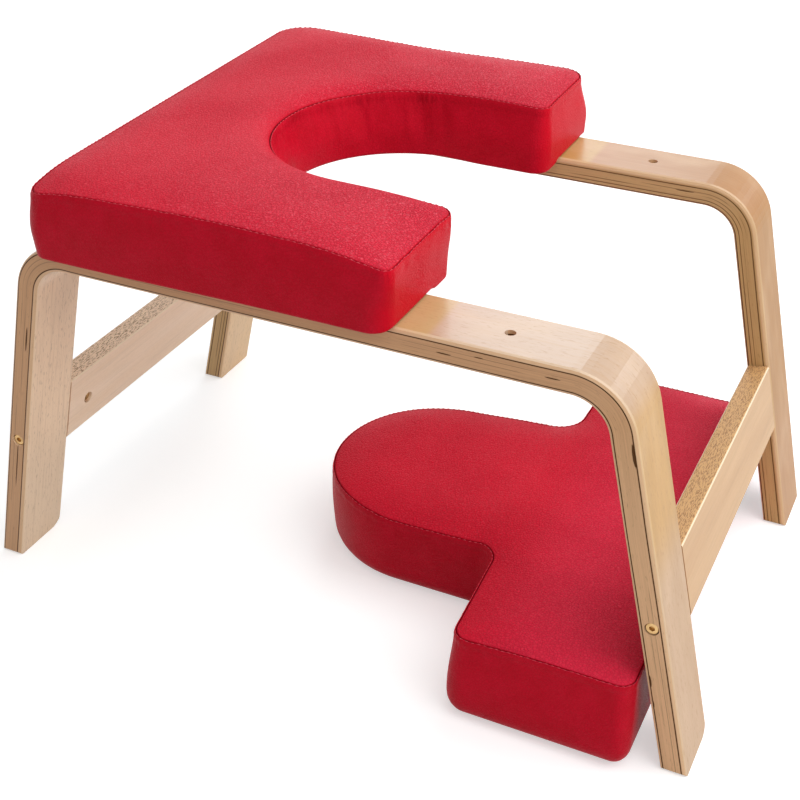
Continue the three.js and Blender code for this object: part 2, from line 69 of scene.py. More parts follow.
class Graph:
    """A short way to write the node tree of a material or a world."""

    def __init__(self, owner):
        self.owner = owner
        owner.use_nodes = True
        self.tree = owner.node_tree
        self.tree.nodes.clear()

    def node(self, kind, **settings):
        made = self.tree.nodes.new("ShaderNode" + kind)
        for key, value in settings.items():
            setattr(made, key, value)
        return made

    def plug(self, socket, value):
        if isinstance(value, bpy.types.NodeSocket):
            self.tree.links.new(value, socket)
        else:
            socket.default_value = value

    def out(self, kind, *values, **settings):
        """The first output of a new node whose first inputs take the values."""
        made = self.node(kind, **settings)
        for socket, value in zip(made.inputs, values):
            self.plug(socket, value)
        return made.outputs[0] if made.outputs else None

    def filled(self, made, **sockets):
        """The outputs of a node whose named inputs take the values."""
        for key, value in sockets.items():
            self.plug(made.inputs[key.replace("_", " ")], value)
        return made.outputs

    def math(self, operation, *values):
        return self.out("Math", *values, operation=operation)

    def add(self, a, b):
        return self.math("ADD", a, b)

    def sub(self, a, b):
        return self.math("SUBTRACT", a, b)

    def mul(self, a, b):
        return self.math("MULTIPLY", a, b)

    def larger(self, a, b):
        return self.math("MAXIMUM", a, b)

    def absolute(self, value):
        return self.math("ABSOLUTE", value)

    def vector(self, x, y, z):
        return self.out("CombineXYZ", x, y, z)

    def moved(self, operation, *vectors):
        return self.out("VectorMath", *vectors, operation=operation)

    def split(self, vector):
        return self.filled(self.node("SeparateXYZ"), Vector=vector)[:3]

    def noise(self, vector, scale=1.0, detail=3.0, roughness=0.55, distortion=0.0, output="Fac"):
        """Noise in 0 to 1; a scale of three numbers stretches it along the axes."""
        if isinstance(scale, tuple):
            vector, scale = self.moved("MULTIPLY", vector, scale), 1.0
        return self.filled(
            self.node("TexNoise"), Vector=vector, Scale=scale, Detail=detail, Roughness=roughness,
            Distortion=distortion,
        )[output]

    def cells(self, vector, scale, feature="F1", randomness=1.0):
        """Distance from the middles or from the edges of scattered cells."""
        made = self.node("TexVoronoi", feature=feature)
        return self.filled(made, Vector=vector, Scale=scale, Randomness=randomness)["Distance"]

    def ramp(self, value, low, high, out_low=0.0, out_high=1.0):
        """A smooth step from out_low to out_high while the value goes from low to high."""
        values = (value, low, high, out_low, out_high)
        return self.out("MapRange", *values, interpolation_type="SMOOTHSTEP", clamp=True)

    def fall(self, value, low, high):
        return self.ramp(value, low, high, 1.0, 0.0)

    def mix(self, share, a, b):
        made = self.node("Mix", data_type="RGBA")
        self.plug(made.inputs[0], share)
        for socket, colour in ((made.inputs[6], a), (made.inputs[7], b)):
            self.plug(socket, colour if isinstance(colour, bpy.types.NodeSocket) else (*colour, 1))
        return made.outputs[2]

    def tint(self, colour, tone, amount, *masks):
        """A colour carried some way towards a tone, where all the masks are 1."""
        for mask in masks:
            amount = self.mul(mask, amount)
        return self.mix(amount, colour, tone)

    def pick(self, share, a, b):
        made = self.node("Mix", data_type="FLOAT")
        self.plug(made.inputs[0], share)
        self.plug(made.inputs[2], a)
        self.plug(made.inputs[3], b)
        return made.outputs[0]

    def bump(self, height, distance, strength):
        return self.filled(self.node("Bump"), Strength=strength, Distance=distance, Height=height)[0]

    def place(self):
        return self.node("TexCoord").outputs["Object"]

    def facing(self):
        return self.split(self.node("TexCoord").outputs["Normal"])

    def finish(self, **sockets):
        self.out("OutputMaterial", self.filled(self.node("BsdfPrincipled"), **sockets)[0])
        return self.owner


def material_graph(name):
    return Graph(bpy.data.materials.new(name))


def wood_streaks(g, grain, seed):
    """Broad and fine streaks and flecks along the first coordinate of grain, which is in metres."""
    point = g.moved("ADD", grain, (seed, seed * 0.37, seed * 0.71))
    broad = g.noise(point, (3, 38, 38), 3, 0.6, 0.6)
    fine = g.noise(point, (14, 420, 420), 3, 0.6, 0.2)
    flecks = g.noise(point, (170, 900, 900), 2, 0.5)
    return point, broad, fine, flecks


def along_strip(g):
    """Place along the bent strip from the middle of its top, and depth under its outer face."""
    x, y, z = g.split(g.place())
    dx = g.sub(g.absolute(x), BEND_X)
    dz = g.sub(z, BEND_Z)
    out = g.add(g.mul(dx, math.cos(LEAN)), g.mul(dz, math.sin(LEAN)))
    down = g.sub(g.mul(dx, math.sin(LEAN)), g.mul(dz, math.cos(LEAN)))
    radius = g.math("SQRT", g.add(g.mul(dx, dx), g.mul(dz, dz)))
    is_leg = g.math("GREATER_THAN", down, 0)
    is_top = g.math("LESS_THAN", dx, 0)
    reach = g.pick(is_top, g.pick(is_leg, radius, out), dz)
    depth = g.sub(BEND_RADIUS, reach)
    turn = g.add(g.mul(g.math("ARCTAN2", dx, dz), BEND_RADIUS), BEND_X)
    along = g.pick(is_top, g.pick(is_leg, turn, g.add(down, BEND_END)), g.add(dx, BEND_X))
    return x, y, g.mul(along, g.math("SIGN", x)), depth


def ply_face(g, grain, along, seed, look):
    """Veneer: pale on the top, its own tone with a painted reflection, but yellower just in front of the
    seat as painted shade;
    honey-coloured below the front bend, and paler again down the front leg as a painted reflection of the
    floor;
    much paler on the rear leg as painted light, and darker towards the rear foot.
    """
    point, broad, fine, flecks = wood_streaks(g, grain, seed)
    cloud = g.noise(point, (16, 26, 26), 2, 0.5)
    figure = g.ramp(broad, 0.32, 0.72)
    top_figure = tuple(value * share for value, share in zip(look["top"], (0.93, 0.88, 0.8)))
    # The pale tone of the top is the veneer's own colour with a painted reflection in it
    pale = g.mix(figure, look["top"], top_figure)
    # Painted light: the rear leg takes a much paler tone, standing in for the light that reaches it under
    # the seat
    pale = g.mix(g.ramp(along, *REAR_BEND, 0.85, 0), pale, look["rear"])
    honey_tone = g.mix(figure, look["honey"], times(look["honey"], 0.86))
    honey_end = look["honey_end"]
    # Painted reflection of the floor: below honey_end the honey fades back towards the pale tone down the
    # front leg
    honey = g.mul(g.ramp(along, *HONEY_START), g.ramp(along, honey_end, honey_end + HONEY_FADE, 1, 0.25))
    face = g.mix(honey, pale, honey_tone)
    # Painted shade: a yellower band on the top just in front of the seat, where the seat hides the
    # reflection
    patch = g.mul(g.ramp(along, *SEAT_SHADE_START), g.fall(along, *SEAT_SHADE_END))
    face = g.tint(face, SEAT_SHADE_TONE, 0.6, patch)
    face = g.mix(g.ramp(along, *REAR_FOOT, 0.75, 0), face, times(look["rear"], 0.735))
    face = g.tint(face, FINE_STREAK, 0.3, g.ramp(fine, 0.45, 0.75))
    face = g.tint(face, PALE_CLOUD, 0.25, g.ramp(cloud, 0.45, 0.75))
    face = g.tint(face, FACE_FLECK, 0.45, g.ramp(flecks, 0.58, 0.7))
    return face, fine


def glue_lines_and_gap_shade(g, grain, along, deep, seed, look):
    """How dark a place of the edge is: the glue lines, and painted shade in the open gaps between the
    plies.
    """
    dark = 0
    for centre, width, strength, breaks in look["lines"]:
        off = g.absolute(g.sub(deep, centre * MM))
        line = g.mul(g.fall(off, width * 0.35 * MM, width * MM), strength)
        if breaks:
            gaps = g.noise(g.vector(g.mul(along, 11), centre, seed), 1, 2)
            line = g.mul(line, g.ramp(gaps, 0.46, 0.56))
        dark = g.larger(line, dark)
    ragged = g.mul(g.noise(grain, (300, 0, 900), 2), 0.5)
    # Painted shade in the open gaps between the plies
    for start, end, centre, half in look["gaps"]:
        half_length = abs(end - start) / 2
        a = g.mul(g.sub(along, (start + end) / 2 * MM), 1 / (half_length * MM))
        b = g.mul(g.sub(deep, centre * MM), 1 / (half * MM))
        distance = g.add(g.add(g.mul(a, a), g.mul(b, b)), ragged)
        dark = g.larger(dark, g.ramp(distance, 0.8, 1.25, 0.95, 0))
    return dark


def ply_edge(g, x, y, along, depth, grain, seed, look):
    """Layered edge: the core, the outer plies, the glue lines between them, and painted shade in the open
    gaps.
    """
    wave = g.mul(g.sub(g.noise(g.vector(g.mul(along, 7), y, 0), 1, 2), 0.5), 1.2 * MM)
    lift = g.mul(g.ramp(x, -0.235, -0.185, -1.4, 0), MM)
    deep = g.sub(g.add(depth, wave), lift)
    layers = g.vector(along, y, deep)
    tone = g.noise(layers, (9, 0, 900), 3, 0.65)
    core = g.mix(g.ramp(along, *CORE_CHANGE), look["core"], look["core_leg"])
    core = g.tint(core, CORE_STREAK, 0.28, g.ramp(tone, 0.3, 0.72))
    outer = g.larger(g.fall(deep, *OUTER_PLY_END), g.ramp(deep, *INNER_PLY_START))
    edge = g.tint(core, OUTER_PLY, 0.6, outer)
    pores = g.noise(layers, (120, 0, 1500), 2, 0.5)
    edge = g.tint(edge, EDGE_PORE, 0.5, g.ramp(pores, 0.62, 0.74))
    dark = glue_lines_and_gap_shade(g, grain, along, deep, seed, look)
    return g.mix(dark, edge, GLUE_AND_GAP_SHADE), dark


def ply_material(name, seed, look):
    """Bent ply: veneer faces with the grain along the strip, layered edges, and a painted highlight on the
    rounded edges between them.
    """
    g = material_graph(name)
    x, y, along, depth = along_strip(g)
    grain = g.vector(along, y, depth)
    face, fine = ply_face(g, grain, along, seed, look)
    edge, dark = ply_edge(g, x, y, along, depth, grain, seed, look)
    sideways = g.absolute(g.facing()[1])
    is_edge = g.ramp(sideways, 0.62, 0.8)
    # Painted highlight on the rounded edges between the faces and the layered edges
    edge_highlight = g.mul(g.ramp(sideways, 0.15, 0.4), g.fall(sideways, 0.62, 0.85))
    open_line = g.mul(dark, is_edge)
    varnish = g.ramp(along, *VARNISH_END, 0.42, 0.06)
    return g.finish(
        Base_Color=g.tint(g.mix(is_edge, face, edge), PLY_EDGE_HIGHLIGHT, 0.4, edge_highlight),
        Roughness=g.add(0.29, g.mul(is_edge, 0.14)),
        Normal=g.bump(g.sub(g.mul(fine, 0.4), open_line), 0.25 * MM, 0.5),
        Specular_IOR_Level=g.sub(varnish, g.mul(open_line, 0.36)),
    )


def rail_material(name, seed, light, dark, narrow_tone, fleck_share):
    """Solid rail: grain along Y, open pores on the narrow faces, and a painted highlight on the rounded
    edges.
    """
    g = material_graph(name)
    x, y, z = g.split(g.place())
    grain = g.vector(y, x, z)
    _, broad, fine, flecks = wood_streaks(g, grain, seed)
    colour = g.mix(g.ramp(broad, 0.3, 0.72), light, dark)
    colour = g.tint(colour, times(dark, 0.72), 0.3, g.ramp(fine, 0.45, 0.75))
    up = g.absolute(g.facing()[2])
    narrow = g.ramp(up, 0.6, 0.8)
    pores = g.noise(grain, (260, 1500, 400), 2, 0.6)
    share = g.mul(g.ramp(pores, 0.5, 0.58), g.add(g.mul(narrow, fleck_share), 0.04))
    colour = g.tint(colour, narrow_tone, 0.65, narrow)
    colour = g.mix(share, colour, RAIL_PORE)
    # Painted highlight on the rounded edges of the rail
    edge_highlight = g.mul(g.ramp(up, 0.15, 0.4), g.fall(up, 0.72, 0.92))
    return g.finish(
        Base_Color=g.tint(colour, RAIL_EDGE_HIGHLIGHT, 0.75, edge_highlight),
        Roughness=g.add(0.36, g.mul(flecks, 0.12)),
        Normal=g.bump(g.sub(g.mul(fine, 0.5), share), 0.25 * MM, 0.5),
        Specular_IOR_Level=0.18,
    )


def raw_wood_material(name, light, dark):
    """Plain wood with the grain along X, for boards and dowels."""
    g = material_graph(name)
    _, broad, fine, flecks = wood_streaks(g, g.place(), 3.3)
    colour = g.mix(g.ramp(broad, 0.3, 0.7), light, dark)
    return g.finish(
        Base_Color=g.tint(colour, times(dark, 0.6), 0.4, g.ramp(fine, 0.5, 0.8)),
        Roughness=g.add(0.62, g.mul(flecks, 0.15)),
        Normal=g.bump(fine, 0.3 * MM, 0.5),
    )


def metal_material(name, colour, stained, roughness):
    g = material_graph(name)
    point = g.place()
    marks = g.noise(point, (900, 3200, 900), 2)
    return g.finish(
        Base_Color=g.mix(g.ramp(g.noise(point, 220), 0.35, 0.75), colour, stained),
        Metallic=1,
        Roughness=g.add(roughness, g.mul(marks, 0.18)),
        Normal=g.bump(marks, 0.05 * MM, 0.4),
    )


def leather_relief(g, point):
    """Small pebbles with creases between them: how far from a crease, and the height."""
    warp = g.noise(point, 240, 2, 0.5, output="Color")
    bent = g.moved("MULTIPLY_ADD", warp, (2 * MM, 2 * MM, 2 * MM), point)
    pebble = g.ramp(g.cells(bent, 440, "DISTANCE_TO_EDGE"), 0, 0.2)
    grit = g.ramp(g.cells(bent, 900, "DISTANCE_TO_EDGE"), 0, 0.25)
    swell = g.noise(point, 330, 2)
    return pebble, g.add(g.add(g.mul(pebble, 0.55), g.mul(grit, 0.25)), g.mul(swell, 0.6))


def leather_material(name):
    """Red leatherette with painted light: a painted sheen on top, strongest on the bar and on the arms,
    painted glints, painted light on the arms' fronts, and painted shade in the creases of the grain and in
    the seams.
    """
    g = material_graph(name)
    point = g.place()
    x, _, z = g.split(point)
    normal_x, _, normal_z = g.facing()
    pebble, height = leather_relief(g, point)
    crease = g.sub(1, pebble)
    patches = g.noise(point, 13)

    # Where the painted light goes: where the surface looks up, the two arms of the seat, their fronts, and
    # the bar of the insert
    upward = g.ramp(normal_z, 0.55, 0.95)
    arms = g.mul(g.ramp(z, *ARMS_Z), g.ramp(x, *ARMS_X, 0.25, 1))
    front = g.mul(g.mul(g.ramp(normal_x, 0.3, 0.9), g.ramp(x, *ARM_FRONT_X)), arms)
    bar = g.mul(g.fall(z, *BAR_Z), g.ramp(x, *BAR_X))

    colour = g.mix(g.ramp(g.noise(point, 60, 4), 0.3, 0.7), RED, RED_DEEPER)
    # Painted shade in the creases between the pebbles of the grain
    colour = g.tint(colour, RED_GRAIN_SHADE, 0.3, crease)
    # Painted sheen on every surface that looks up, standing in for the lamps' reflection there
    colour = g.tint(colour, RED_TOP_SHEEN, 0.55, upward)
    # Painted light on the insert's bar, where the rails and the arch leave it in shadow
    colour = g.tint(colour, RED_BAR_LIGHT, 0.45, bar, upward)
    # Painted sheen on the tops of the arms
    colour = g.tint(colour, RED_ARMS_SHEEN, 0.2, arms, upward)
    # Painted light on the arms' fronts where they face the lamps: a stronger, purer red that holds back
    # the whitish reflection there
    colour = g.tint(colour, RED_LIT_FRONT, 0.6, front)
    # Painted highlights: light glints on surfaces that look up, more on the arms
    glints = g.ramp(g.noise(point, 540, 2, 0.6), 0.53, 0.68)
    colour = g.tint(colour, RED_GLINT, g.add(g.mul(arms, 0.42), 0.12), glints, upward)
    # Painted shade in the creases of the grain on surfaces that look up, deeper on the arms
    colour = g.tint(colour, RED_UPPER_GRAIN_SHADE, g.add(g.mul(arms, 0.18), 0.22), upward, crease)
    seam = g.node("Attribute", attribute_name="seam_shade").outputs["Fac"]

    height = g.mul(height, g.ramp(patches, 0.35, 0.65, 0.6, 1))
    height = g.mul(height, g.add(0.4, g.mul(upward, 0.75)))
    return g.finish(
        # Painted shade in the crease of the seam, where the attribute seam_shade marks it
        Base_Color=g.tint(colour, RED_SEAM_SHADE, 0.95, seam),
        Roughness=g.add(g.ramp(patches, 0.3, 0.7, 0.34, 0.42), g.mul(crease, 0.1)),
        Normal=g.bump(height, 0.62 * MM, 1),
        Specular_IOR_Level=0.06,
    )


def thread_material(name):
    g = material_graph(name)
    twist = g.noise(g.place(), 1500, 2)
    return g.finish(
        Base_Color=g.mix(g.ramp(twist, 0.35, 0.7), THREAD_LIGHT, THREAD_DARK),
        Roughness=0.55,
        Sheen_Weight=0.15,
        Specular_IOR_Level=0.3,
        Normal=g.bump(twist, 0.08 * MM, 0.6),
    )


def cloth_material(name):
    """Black non-woven cloth: pressed fibres with a grid of small dimples."""
    g = material_graph(name)
    point = g.place()
    fibres = g.noise(point, 700, 4, 0.7, 1.5)
    dimple = g.ramp(g.cells(point, 480, randomness=0.15), 0.12, 0.34)
    colour = g.mix(g.ramp(fibres, 0.35, 0.7), CLOTH_DARK, CLOTH_LIGHT)
    return g.finish(
        Base_Color=g.tint(colour, CLOTH_DIMPLE, 0.6, g.sub(1, dimple)),
        Roughness=0.9,
        Sheen_Weight=0.1,
        Normal=g.bump(g.add(g.mul(fibres, 0.5), dimple), 0.2 * MM, 0.6),
    )


def foam_material(name):
    g = material_graph(name)
    cells = g.cells(g.place(), 900)
    colour = g.mix(cells, FOAM_DARK, FOAM_LIGHT)
    return g.finish(Base_Color=colour, Roughness=0.95, Normal=g.bump(cells, 0.4 * MM, 0.8))


# Places along the strip, in metres from the middle of its top, where a look starts or ends
REAR_FOOT = (-0.47, -0.385)
REAR_BEND = (-0.25, -0.205)
# Where the painted shade in front of the seat starts and ends
SEAT_SHADE_START = (0.06, 0.072)
SEAT_SHADE_END = (0.094, 0.101)
CORE_CHANGE = (0.17, 0.33)
VARNISH_END = (0.215, 0.255)
HONEY_START = (0.238, 0.262)
HONEY_FADE = 0.06
# Depths of the two outer plies
OUTER_PLY_END = (3 * MM, 3.6 * MM)
INNER_PLY_START = (16.8 * MM, 17.3 * MM)

# Places on the pads where light is painted: x and height of the seat's arms, x of their fronts, x and
# height of the insert's bar
ARMS_X = (-0.17, 0.02)
ARMS_Z = (0.2, 0.3)
ARM_FRONT_X = (0.048, 0.066)
BAR_X = (0.11, 0.21)
BAR_Z = (0.1, 0.2)

# Colours of the bent ply and of the rails
# Painted shade: the yellower tone of the top just in front of the seat
SEAT_SHADE_TONE = (0.52, 0.36, 0.11)
FINE_STREAK = (0.48, 0.275, 0.13)
PALE_CLOUD = (0.68, 0.48, 0.3)
FACE_FLECK = (0.38, 0.205, 0.09)
CORE_STREAK = (0.3, 0.15, 0.065)
OUTER_PLY = (0.8, 0.53, 0.32)
EDGE_PORE = (0.22, 0.11, 0.05)
# Dark glue lines, and painted shade in the open gaps between the plies
GLUE_AND_GAP_SHADE = (0.085, 0.034, 0.013)
# Painted highlight of the ply's rounded edges
PLY_EDGE_HIGHLIGHT = (0.86, 0.66, 0.45)
RAIL_PORE = (0.33, 0.17, 0.07)
# Painted highlight of the rails' rounded edges
RAIL_EDGE_HIGHLIGHT = (0.96, 0.8, 0.58)

# Colours of the leatherette, its thread, the lining cloth and the foam. Of the leatherette's colours only
# the first two are its own red. The others paint light and shade, in this order: painted shade in the
# creases of the grain, a painted sheen on top, painted light on the insert's bar, a painted sheen on the
# arms, painted light on the arms' fronts, painted glints, more painted shade in the creases on top, and
# painted shade in the seam.
RED = (0.56, 0.0046, 0.022)
RED_DEEPER = (0.51, 0.0033, 0.017)
RED_GRAIN_SHADE = (0.35, 0.0018, 0.0095)
RED_TOP_SHEEN = (0.715, 0.012, 0.037)
RED_BAR_LIGHT = (0.94, 0.042, 0.105)
RED_ARMS_SHEEN = (0.64, 0.05, 0.095)
RED_LIT_FRONT = (0.6, 0.001, 0.012)
RED_GLINT = (0.84, 0.115, 0.16)
RED_UPPER_GRAIN_SHADE = (0.29, 0.0016, 0.009)
RED_SEAM_SHADE = (0.09, 0.0008, 0.003)
THREAD_LIGHT = (0.7, 0.055, 0.085)
THREAD_DARK = (0.56, 0.014, 0.034)
CLOTH_DARK = (0.01, 0.01, 0.011)
CLOTH_LIGHT = (0.034, 0.033, 0.033)
CLOTH_DIMPLE = (0.006, 0.006, 0.006)
FOAM_DARK = (0.72, 0.66, 0.48)
FOAM_LIGHT = (0.84, 0.79, 0.62)

# Looks of the two arches. The top tone holds a painted reflection, and the rear tone is painted light. The
# honey tone reaches down the front leg to honey_end, in metres, and below it a painted reflection makes
# the leg paler again.
# Glue lines in millimetres: depth under the outer face, half width, strength, whether it comes and goes.
# Open gaps between the plies, painted dark as shade, in millimetres: from and to along the strip, depth,
# half height.
RIGHT_PLY = {
    "top": (0.53, 0.375, 0.27), "rear": (0.99, 0.72, 0.47),
    "core": (0.63, 0.34, 0.165), "core_leg": (0.79, 0.48, 0.27),
    "honey": (0.55, 0.322, 0.122), "honey_end": 0.335,
    "lines": [
        (3.5, 0.65, 1, False), (7.6, 0.35, 0.45, True), (11, 0.35, 0.45, True),
        (16.8, 0.65, 1, False),
    ],
    "gaps": [
        (266, 286, 4.2, 1.4), (103, 115, 10.6, 0.6), (179, 191, 9.9, 0.6),
        (130, 138, 7.4, 0.5), (-322, -296, 13.4, 0.8), (452, 464, 16.4, 0.9),
        (474, 482, 16.6, 0.7), (-466, -408, 11.2, 0.6),
    ],
}
LEFT_PLY = {
    "top": (0.42, 0.21, 0.085), "rear": (0.97, 0.635, 0.31),
    "core": (0.62, 0.385, 0.165), "core_leg": (0.62, 0.395, 0.17),
    "honey": (0.41, 0.195, 0.05), "honey_end": 0.405,
    "lines": [
        (4.9, 0.7, 0.85, False), (8.6, 0.5, 0.5, True), (11.4, 0.5, 0.65, True), (14.5, 0.6, 0.7, False),
        (17.5, 0.7, 0.95, False),
    ],
    "gaps": [(172, 190, 9.4, 0.5), (-250, -232, 7.2, 0.6)],
}

right_ply = ply_material("ply_right", 1.7, RIGHT_PLY)
left_ply = ply_material("ply_left", 6.1, LEFT_PLY)
front_wood = rail_material(
    "rail_front", 2.9, (0.52, 0.3, 0.136), (0.446, 0.232, 0.095), (0.66, 0.4, 0.175), 1,
)
# Painted light: the rear rail is a much paler copy of the rail wood, standing in for the light that
# reaches it under the seat
rear_wood_lit = rail_material(
    "rail_rear", 8.3, (0.95, 0.72, 0.54), (0.9, 0.65, 0.45), (0.93, 0.69, 0.48), 0.75,
)
board_wood = raw_wood_material("board", (0.52, 0.36, 0.2), (0.4, 0.255, 0.13))
dowel_wood = raw_wood_material("dowel", (0.62, 0.45, 0.27), (0.52, 0.35, 0.19))
brass = metal_material("brass_plating", (0.64, 0.42, 0.19), (0.45, 0.27, 0.11), 0.28)
zinc = metal_material("zinc_plating", (0.62, 0.63, 0.65), (0.45, 0.46, 0.48), 0.3)
leather = leather_material("red_leatherette")
thread = thread_material("red_thread")
lining_cloth = cloth_material("black_lining")
foam = foam_material("foam")

NODE_MATERIALS = [
    (right_ply, ["right_arch"]),
    (left_ply, ["left_arch"]),
    (front_wood, ["front_rail"]),
    (rear_wood_lit, ["rear_rail"]),
    (brass, ["connector_bolt", "barrel_nut"]),
    (zinc, ["seat_tee", "insert_tee", "seat_bolt", "seat_washer"]),
    (dowel_wood, ["dowel"]),
    (board_wood, ["seat_board", "insert_board"]),
    (leather, ["seat_cover", "insert_cover"]),
    (foam, ["seat_foam", "insert_foam"]),
    (lining_cloth, ["seat_lining", "insert_lining"]),
]
for material, starts in NODE_MATERIALS:
    for node_name, node in nodes.items():
        if node_name.startswith(tuple(starts)):
            node.data.materials.clear()
            node.data.materials.append(material)


# Meshes

def make_piece(name, points, faces, material, body):
    mesh = bpy.data.meshes.new(name)
    mesh.from_pydata([tuple(p) for p in points], [], [tuple(int(i) for i in f) for f in faces])
    mesh.validate()
    mesh.update()
    mesh.polygons.foreach_set("use_smooth", [True] * len(mesh.polygons))
    mesh.materials.append(material)
    made = bpy.data.objects.new(name, mesh)
    scene.collection.objects.link(made)
    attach(made, body)
    return made


# Steps along straight lines and the large tongue, and along the other arcs
PITCH = 3 * MM
CURVE_PITCH = 1.5 * MM
LEAST_STEPS = 8
LEAST_RADIUS = 0.4 * MM
# Arcs smaller than this are corners; the larger ones are the head opening and the tongue that fills it
CORNER_RADIUS = 50 * MM

Arc = namedtuple("Arc", "x y radius start end")
Row = namedtuple("Row", "kind inset height depth")


def point_on(arc, angle):
    return np.array([arc.x + arc.radius * math.cos(angle), arc.y + arc.radius * math.sin(angle)])


def is_hollow(arc):
    return arc.end < arc.start


def is_corner(arc):
    return not is_hollow(arc) and arc.radius < CORNER_RADIUS


def steps_round(arc):
    pitch = CURVE_PITCH if is_hollow(arc) or is_corner(arc) else PITCH
    return max(LEAST_STEPS, round(abs(arc.end - arc.start) * arc.radius / pitch))


def moved_in(arc, distance):
    """An arc of an outline that is moved inward; a corner gets sharper, a hollow gets wider."""
    if is_hollow(arc):
        return arc._replace(radius=arc.radius + distance)
    rest = max(0.0, distance - (arc.radius - LEAST_RADIUS))
    return arc._replace(
        x=arc.x - rest * (math.cos(arc.start) + math.cos(arc.end)),
        y=arc.y - rest * (math.sin(arc.start) + math.sin(arc.end)),
        radius=max(arc.radius - distance, LEAST_RADIUS),
    )


class Outline:
    """A pad's plan, counter-clockwise: arcs joined by straight lines. A hollow arc turns back."""

    def __init__(self, arcs, like=None):
        self.arcs = [Arc(x * MM, y * MM, radius * MM, start, end) for x, y, radius, start, end in arcs]
        if like:
            self.arc_steps, self.line_steps = like.arc_steps, like.line_steps
        else:
            self.arc_steps = [steps_round(arc) for arc in self.arcs]
            following = self.arcs[1:] + self.arcs[:1]
            gaps = [
                np.linalg.norm(point_on(after, after.start) - point_on(arc, arc.end))
                for arc, after in zip(self.arcs, following)
            ]
            self.line_steps = [max(1, round(gap / PITCH)) for gap in gaps]
        self.points, self.normals = self.at(0.0)
        self.along = closed_row(self.points)[1][:-1]

    def mark(self, rule):
        """1 at the points of the arcs that the rule picks, 0 elsewhere."""
        marks = []
        for arc, steps, line in zip(self.arcs, self.arc_steps, self.line_steps):
            marks += [float(rule(arc))] * (steps + 1) + [0.0] * (line - 1)
        return np.array(marks)

    def stretch(self, first, last):
        """The points from the start of one arc to the end of another."""
        starts = np.cumsum([0] + [arc + line for arc, line in zip(self.arc_steps, self.line_steps)])
        return self.points[starts[first]:starts[last] + self.arc_steps[last] + 1]

    def at(self, distance):
        """Points and outward normals of the outline moved inward."""
        arcs = [moved_in(arc, distance) for arc in self.arcs]
        points, normals = [], []
        for number, arc in enumerate(arcs):
            sign = -1.0 if is_hollow(arc) else 1.0
            for angle in np.linspace(arc.start, arc.end, self.arc_steps[number] + 1):
                points.append(point_on(arc, angle))
                normals.append(sign * np.array([math.cos(angle), math.sin(angle)]))
            after = arcs[(number + 1) % len(arcs)]
            last, normal, steps = points[-1], normals[-1], self.line_steps[number]
            gap = point_on(after, after.start) - last
            points += [last + gap * i / steps for i in range(1, steps)]
            normals += [normal] * (steps - 1)
        return np.array(points), np.array(normals)


def closed_row(points):
    """A row with its first point again at its end, and how far along it each point lies."""
    closed = np.vstack([points, points[:1]])
    return closed, np.concatenate([[0], np.cumsum(np.linalg.norm(np.diff(closed, axis=0), axis=1))])


def noise_along(values, seed, scale):
    return np.array([noise.noise(Vector((v * scale, seed, seed * 0.5))) for v in values])


def plan_noise(points, seed, scale):
    return np.array([noise.noise(Vector((x * scale, y * scale, seed))) for x, y in points])


def smoothstep(value, low, high):
    t = np.clip((value - low) / (high - low), 0, 1)
    return t * t * (3 - 2 * t)


def bell(value, middle, width):
    return math.exp(-(((value - middle) / width) ** 2))


def curve_through(x, xs, ys):
    """A smooth curve through points."""
    xs, ys = np.array(xs, float), np.array(ys, float)
    slopes = np.gradient(ys, xs)
    i = np.clip(np.searchsorted(xs, x) - 1, 0, len(xs) - 2)
    h = xs[i + 1] - xs[i]
    t = np.clip((x - xs[i]) / h, 0, 1)
    return (
        ys[i] * (1 + 2 * t) * (1 - t) ** 2 + ys[i + 1] * t * t * (3 - 2 * t)
        + slopes[i] * h * t * (1 - t) ** 2 - slopes[i + 1] * h * t * t * (1 - t)
    )


# First and last angle of the corners of a plan: rear or front, near or far
REAR_NEAR = (2 * QUARTER, 3 * QUARTER)
FRONT_NEAR = (-QUARTER, 0)
FRONT_FAR = (0, QUARTER)
REAR_FAR = (QUARTER, 2 * QUARTER)

# Plans of the two pads in millimetres: the foot of the wall, and the seam line round the top
SEAT_FOOT = [
    (-200, -193.5, 12.5, *REAR_NEAR), (57.8, -190, 16, *FRONT_NEAR),
    (60.2, -109, 14, *FRONT_FAR), (-11, 0, 95, -QUARTER, -3 * QUARTER),
    (58.6, 109, 14, *FRONT_NEAR), (60.6, 194, 12, *FRONT_FAR),
    (-199.5, 193, 13, *REAR_FAR),
]
SEAT_TOP = [
    (-195.3, -189, 17, *REAR_NEAR), (69.4, -198, 8, *FRONT_NEAR),
    (64.4, -110.5, 13, *FRONT_FAR), (-14.5, 0, 97.5, -QUARTER, -3 * QUARTER),
    (59.3, 111, 11, *FRONT_NEAR), (50.2, 181, 20, *FRONT_FAR),
    (-191, 172, 29, *REAR_FAR),
]
INSERT_FOOT = [
    (136.2, -189.3, 18, *REAR_NEAR), (250, -194.3, 13, *FRONT_NEAR),
    (249, 194.3, 13, *FRONT_FAR), (130.9, 194.3, 13, *REAR_FAR),
    (96, 111, 22, 0, -QUARTER), (22.5, 0, 89, QUARTER, 3 * QUARTER),
    (98, -109, 20, QUARTER, 0),
]
INSERT_TOP = [
    (135.8, -189, 13, 2 * QUARTER + 0.055, 3 * QUARTER), (248.6, -189, 13, *FRONT_NEAR),
    (247, 189, 13, *FRONT_FAR), (129.5, 189, 13, *REAR_FAR),
    (91.5, 117.5, 24.5, 0, -QUARTER + 0.04), (23.5, 0, 90.5, QUARTER + 0.04, 3 * QUARTER - 0.02),
    (98.5, -111.5, 19.5, QUARTER - 0.02, 0.055),
]
